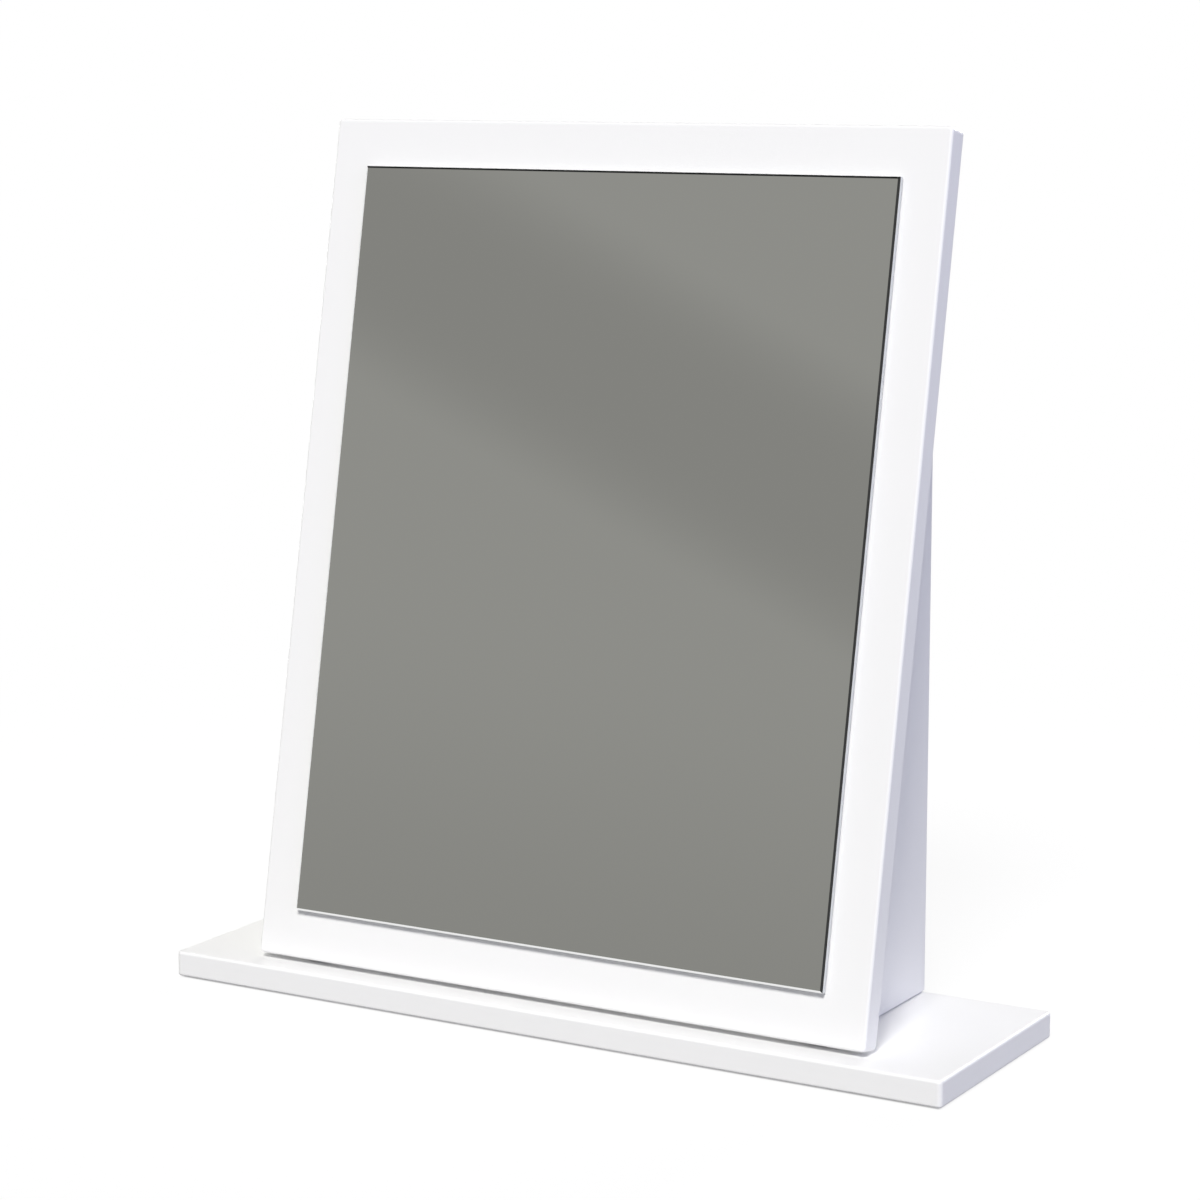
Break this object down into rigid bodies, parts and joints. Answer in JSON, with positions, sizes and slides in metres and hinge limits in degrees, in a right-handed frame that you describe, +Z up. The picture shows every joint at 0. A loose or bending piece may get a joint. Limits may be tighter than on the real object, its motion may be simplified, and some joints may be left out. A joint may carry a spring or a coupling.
{
  "type": "freestanding mirror",
  "caption": "Dressing-table mirror: a frameless bevelled glass on a white panel that leans back at a fixed angle, held by gussets on a wide base board.",
  "frame": {"origin": "on the floor, under the middle of the base board", "axes": "+X to the right of someone facing the mirror, +Y to the back, away from that person, +Z up"},
  "size_m": [0.528, 0.156, 0.5349],
  "materials": {
    "white_laminate": "satin",
    "white_edging": "satin",
    "mirror_glass": "polished",
    "backing_film": "matte",
    "foam_tape": "matte",
    "zinc_steel": "satin",
    "beech": "matte",
    "foot_pad": "matte"
  },
  "bodies": {
    "root": {"base_board": "white_laminate", "panel_board": "white_laminate", "gusset_board_left": "white_laminate", "gusset_board_right": "white_laminate", "base_edging_front": "white_edging", "base_edging_rear": "white_edging", "base_edging_left": "white_edging", "base_edging_right": "white_edging", "panel_edging_top": "white_edging", "panel_edging_bottom": "white_edging", "panel_edging_left": "white_edging", "panel_edging_right": "white_edging", "gusset_edging_rear_left": "white_edging", "gusset_edging_rear_right": "white_edging", "gusset_edging_top_left": "white_edging", "gusset_edging_top_right": "white_edging", "mirror_glass": "mirror_glass", "mirror_film": "backing_film", "mirror_tape_left": "foam_tape", "mirror_tape_centre": "foam_tape", "mirror_tape_right": "foam_tape", "base_screws": "zinc_steel", "panel_screws": "zinc_steel", "base_dowels": "beech", "panel_dowels": "beech", "foot_pad_front_left": "foot_pad", "foot_pad_front_right": "foot_pad", "foot_pad_rear_left": "foot_pad", "foot_pad_rear_right": "foot_pad"}
  },
  "joints": []
}
